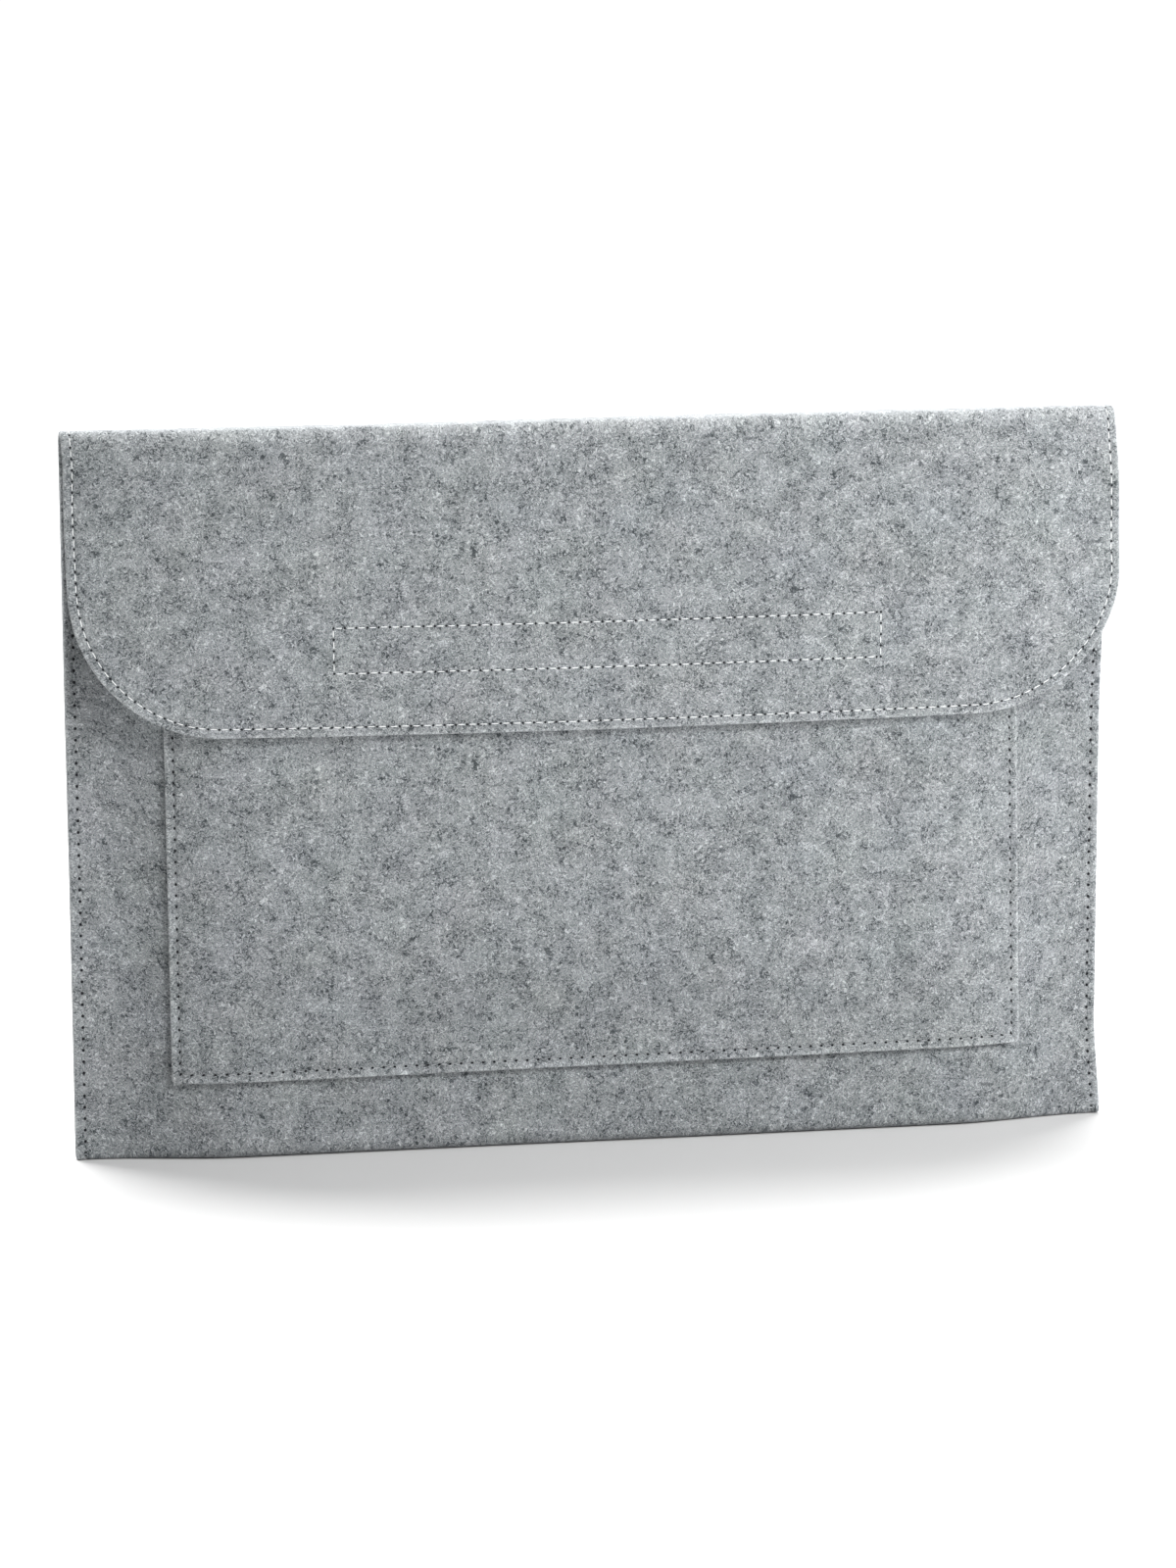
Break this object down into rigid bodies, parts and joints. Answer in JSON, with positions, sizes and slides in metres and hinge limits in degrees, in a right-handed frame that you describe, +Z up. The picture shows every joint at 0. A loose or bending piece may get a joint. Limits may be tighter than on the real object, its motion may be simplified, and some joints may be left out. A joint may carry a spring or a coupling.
{
  "type": "laptop sleeve",
  "caption": "Thick grey felt sleeve for a laptop, folded at the bottom and sewn at the sides, with a patch pocket and a round-cornered flap closed by a hook-and-loop strip.",
  "frame": {"origin": "middle of the base, halfway between the back face and the flap's face, with the sleeve closed and standing on its bottom fold", "axes": "+Z up towards the top fold, +X along the width to the right as seen from the front, -Y out of the flap and the pocket, +Y out of the back"},
  "size_m": [0.38, 0.0294, 0.26],
  "materials": {
    "felt": "thick pressed melange felt, light grey, matt and fuzzy",
    "hook_tape": "woven tape with fine hooks, dark grey",
    "loop_tape": "woven tape with a soft loop pile, dark grey",
    "seam_thread": "grey polyester thread sunk in the felt",
    "topstitch_thread": "light grey polyester thread"
  },
  "bodies": {
    "sleeve": {"body_panel": "felt", "pocket_panel": "felt", "loop_strip": "loop_tape", "side_seam_thread_left": "seam_thread", "side_seam_thread_right": "seam_thread", "pocket_thread": "seam_thread", "loop_strip_thread": "seam_thread", "top_rear_fold": "felt"},
    "top": {"top_strip": "felt", "top_strip_thread": "topstitch_thread", "top_front_fold": "felt"},
    "flap": {"flap_panel": "felt", "hook_strip": "hook_tape", "hook_strip_thread": "topstitch_thread", "flap_edge_thread": "topstitch_thread"}
  },
  "joints": [
    {"name": "rear_crease", "type": "hinge", "parent": "sleeve", "child": "top", "pos_m": [0, 0.01275, 0.25805], "axis": [-1, 0, 0], "range_deg": [0, 90], "deforming": ["top_rear_fold"]},
    {"name": "front_crease", "type": "hinge", "parent": "top", "child": "flap", "pos_m": [0, -0.00335, 0.25805], "axis": [-1, 0, 0], "range_deg": [0, 90], "deforming": ["top_front_fold"]}
  ],
  "couplings": [
    {"joint": "rear_crease", "follows": "front_crease", "ratio": 1}
  ]
}
